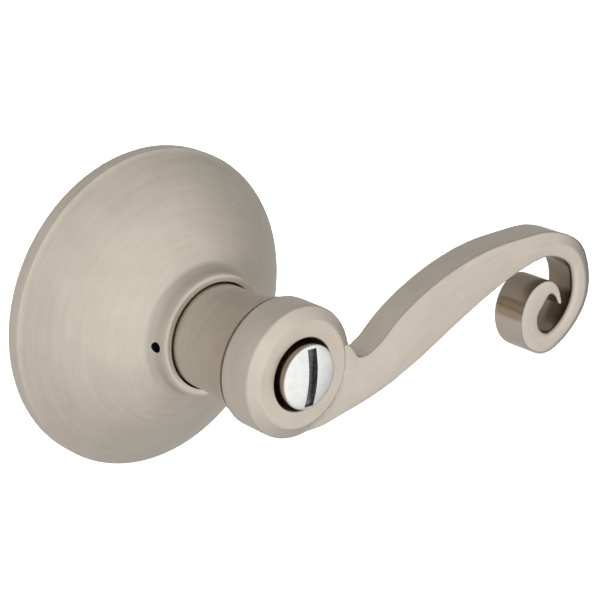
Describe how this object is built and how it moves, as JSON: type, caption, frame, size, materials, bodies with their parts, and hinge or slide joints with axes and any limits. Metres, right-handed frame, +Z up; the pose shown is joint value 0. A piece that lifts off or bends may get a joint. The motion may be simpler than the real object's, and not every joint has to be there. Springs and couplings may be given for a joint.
{
  "type": "door lever handle",
  "caption": "Door lever handle with a round domed rose, a waved arm ending in a scroll, and a slotted turn button in its hub.",
  "frame": {"origin": "centre of the rose's back plane, on the face of the door, on the axis that the lever turns about", "axes": "+Y into the door along the lever's axis, +Z up, +X along the lever's arm"},
  "size_m": [0.1308, 0.0921, 0.074],
  "materials": {
    "satin_nickel": "satin nickel plate, brushed in circles on the rose and hub and along the arm",
    "bright_nickel": "bright nickel plate, polished",
    "zinc_steel": "pressed or turned steel, zinc plated",
    "spring_steel": "spring steel, oiled",
    "black_steel": "steel with a black oxide finish",
    "die_cast": "zinc alloy die casting, as cast",
    "black_nylon": "moulded nylon, matt"
  },
  "bodies": {
    "chassis": {"rose": "satin_nickel", "mounting_plate": "zinc_steel", "screw_post_left": "zinc_steel", "screw_post_right": "zinc_steel", "spring_housing": "die_cast", "housing_screw_1": "zinc_steel", "housing_screw_2": "zinc_steel", "housing_screw_3": "zinc_steel", "tube_bushing": "black_nylon", "thrust_washer": "spring_steel", "return_spring": "spring_steel"},
    "lever": {"lever": "satin_nickel", "drive_tube": "zinc_steel", "drive_cam": "zinc_steel", "spindle": "zinc_steel", "retaining_ring": "spring_steel", "button_sleeve": "black_nylon", "catch_spring": "black_steel"},
    "lever_catch": {"lever_catch": "black_steel"},
    "turn_button": {"turn_button": "bright_nickel", "button_clip": "spring_steel", "button_washer": "spring_steel", "torque_blade": "zinc_steel"}
  },
  "joints": [
    {"name": "lever_turn", "type": "hinge", "parent": "chassis", "child": "lever", "pos_m": [0, 0, 0], "axis": [0, 1, 0], "range_deg": [-45, 45], "stiffness_Nm_per_rad": 1.2, "springref_deg": -5.73, "deforming": ["return_spring"]},
    {"name": "catch_slide", "type": "slide", "parent": "lever", "child": "lever_catch", "axis": [1, 0, 0], "range_m": [0, 0.0018], "stiffness_N_per_m": 300, "springref_m": -0.003, "deforming": ["catch_spring"]},
    {"name": "button_turn", "type": "hinge", "parent": "lever", "child": "turn_button", "pos_m": [0, 0, 0], "axis": [0, 1, 0], "range_deg": [0, 90]}
  ]
}
